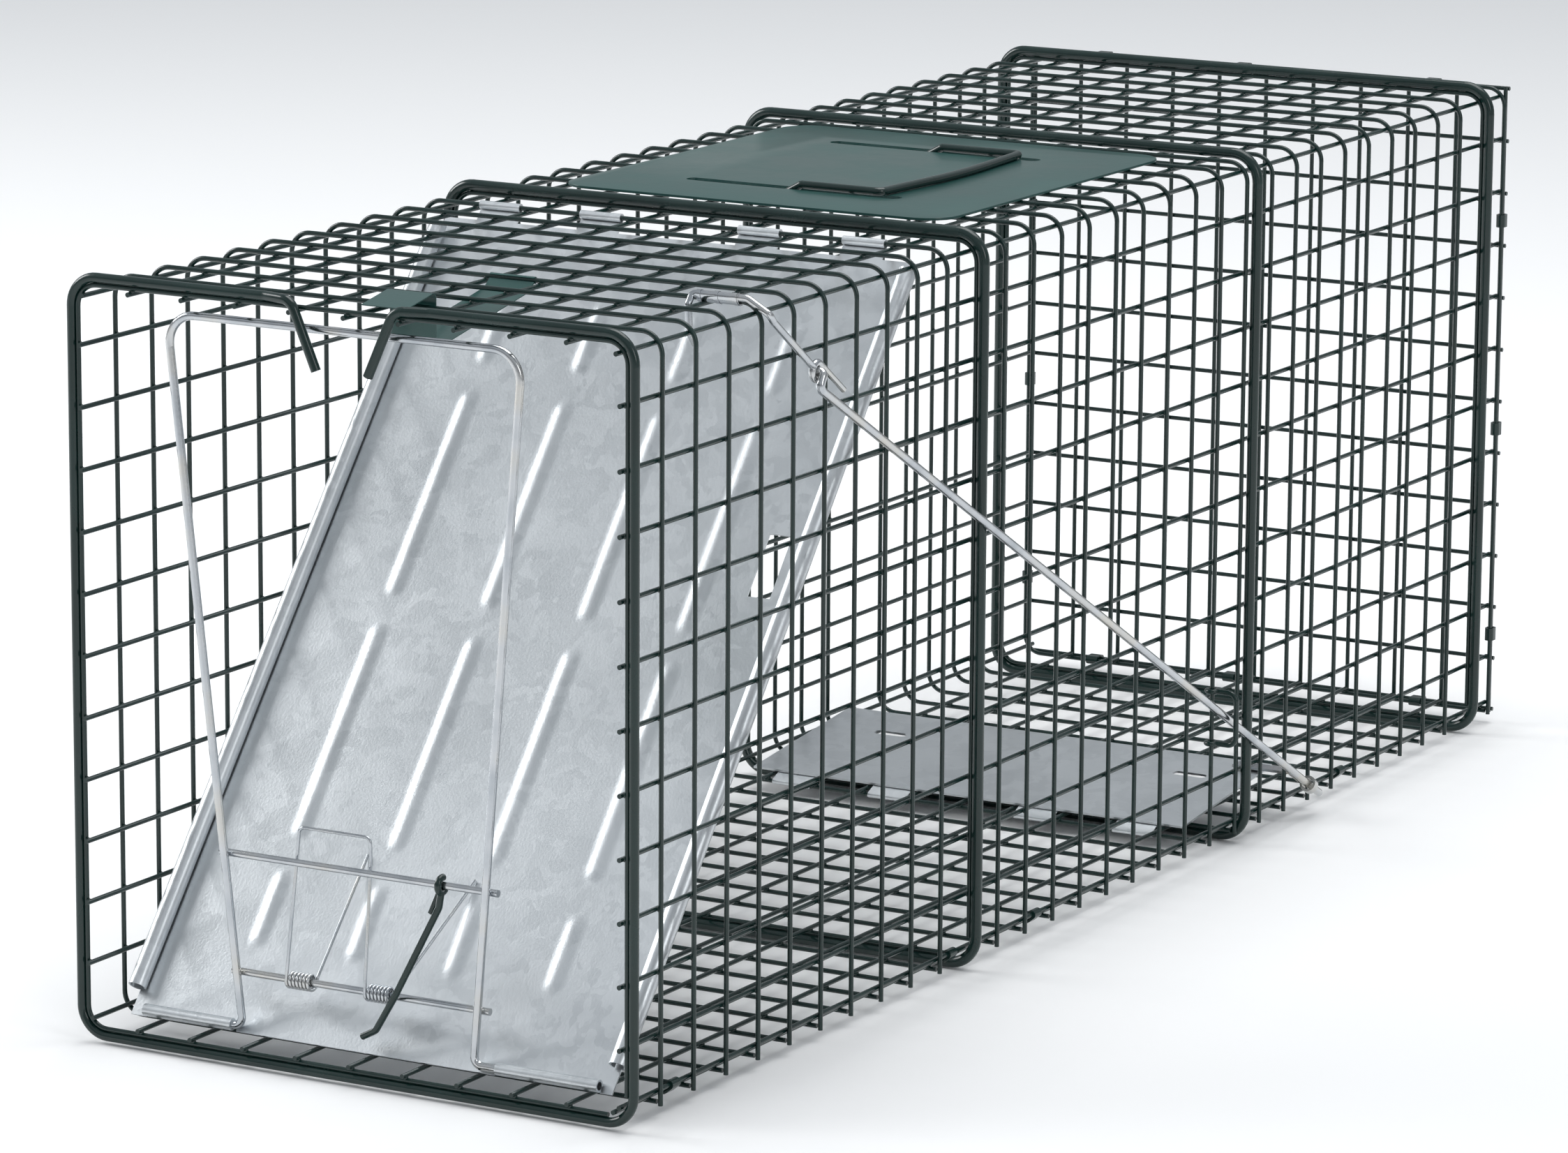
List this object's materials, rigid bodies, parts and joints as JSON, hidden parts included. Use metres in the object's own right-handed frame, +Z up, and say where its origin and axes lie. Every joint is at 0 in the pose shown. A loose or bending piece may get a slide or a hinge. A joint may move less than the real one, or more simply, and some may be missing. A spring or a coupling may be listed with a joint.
{
  "type": "live catch trap",
  "caption": "Folded wire-mesh cage trap with a sloping drop door, swinging lock bar, trip pan, side trigger rod with latch crank, and a carrying handle on a guard plate.",
  "frame": {"origin": "on the ground under the middle of the cage", "axes": "+X to the right seen from the door end, +Y to the closed rear, +Z up"},
  "size_m": [0.2742, 0.8242, 0.3174],
  "materials": {
    "green_paint": "gloss",
    "zinc_wire": "bright zinc plated",
    "galvanized_sheet": "galvanized, satin"
  },
  "bodies": {
    "cage": {"floor_mesh": "green_paint", "left_mesh": "green_paint", "top_mesh": "green_paint", "right_mesh": "green_paint", "rear_panel": "green_paint", "front_frame": "green_paint", "front_rib": "green_paint", "middle_rib": "green_paint", "rear_rib": "green_paint", "seam_clips": "green_paint", "rear_clips": "green_paint", "lock_catch": "green_paint", "handle_plate": "green_paint", "rod_guide": "green_paint", "crank_sleeve": "zinc_wire"},
    "handle": {"carry_handle": "green_paint"},
    "crank": {"latch_crank": "zinc_wire"},
    "trigger": {"trigger_rod": "zinc_wire"},
    "pan": {"trip_pan": "galvanized_sheet", "pan_arm": "zinc_wire"},
    "door": {"door_panel": "galvanized_sheet"},
    "lock": {"lock_bar": "zinc_wire", "upper_cross_rod": "zinc_wire", "lower_cross_rod": "zinc_wire", "torsion_spring": "zinc_wire"},
    "hook": {"hold_open_hook": "green_paint"}
  },
  "joints": [
    {"name": "handle_swing", "type": "hinge", "parent": "cage", "child": "handle", "pos_m": [-0.006, 0.0085, 0.3106], "axis": [0, 1, 0], "range_deg": [-100, 0]},
    {"name": "pan_hinge", "type": "hinge", "parent": "cage", "child": "pan", "pos_m": [0, 0.1016, 0.00585], "axis": [1, 0, 0], "range_deg": [0, 5]},
    {"name": "crank_turn", "type": "hinge", "parent": "cage", "child": "crank", "pos_m": [0.11, -0.30665, 0.3133], "axis": [1, 0, 0], "range_deg": [-16, 0]},
    {"name": "trigger_turn", "type": "hinge", "parent": "crank", "child": "trigger", "pos_m": [0.132, -0.2689, 0.2796], "axis": [1, 0, 0], "range_deg": [0, 18]},
    {"name": "door_hinge", "type": "hinge", "parent": "cage", "child": "door", "pos_m": [0, -0.1524, 0.31145], "axis": [1, 0, 0], "range_deg": [-5.4, 0], "deforming": ["lock_catch", "torsion_spring"]},
    {"name": "lock_fold", "type": "hinge", "parent": "door", "child": "lock", "pos_m": [0, -0.39575, 0.01311], "axis": [1, 0, 0], "range_deg": [-28.5, 0], "deforming": ["lock_catch", "torsion_spring"]},
    {"name": "hook_swing", "type": "hinge", "parent": "lock", "child": "hook", "pos_m": [0.035, -0.39431, 0.084], "axis": [1, 0, 0], "range_deg": [-12, 0]}
  ],
  "couplings": [
    {"joint": "crank_turn", "follows": "pan_hinge", "ratio": -3.05},
    {"joint": "trigger_turn", "follows": "pan_hinge", "ratio": 3.45},
    {"joint": "lock_fold", "follows": "door_hinge", "ratio": 5.2}
  ]
}
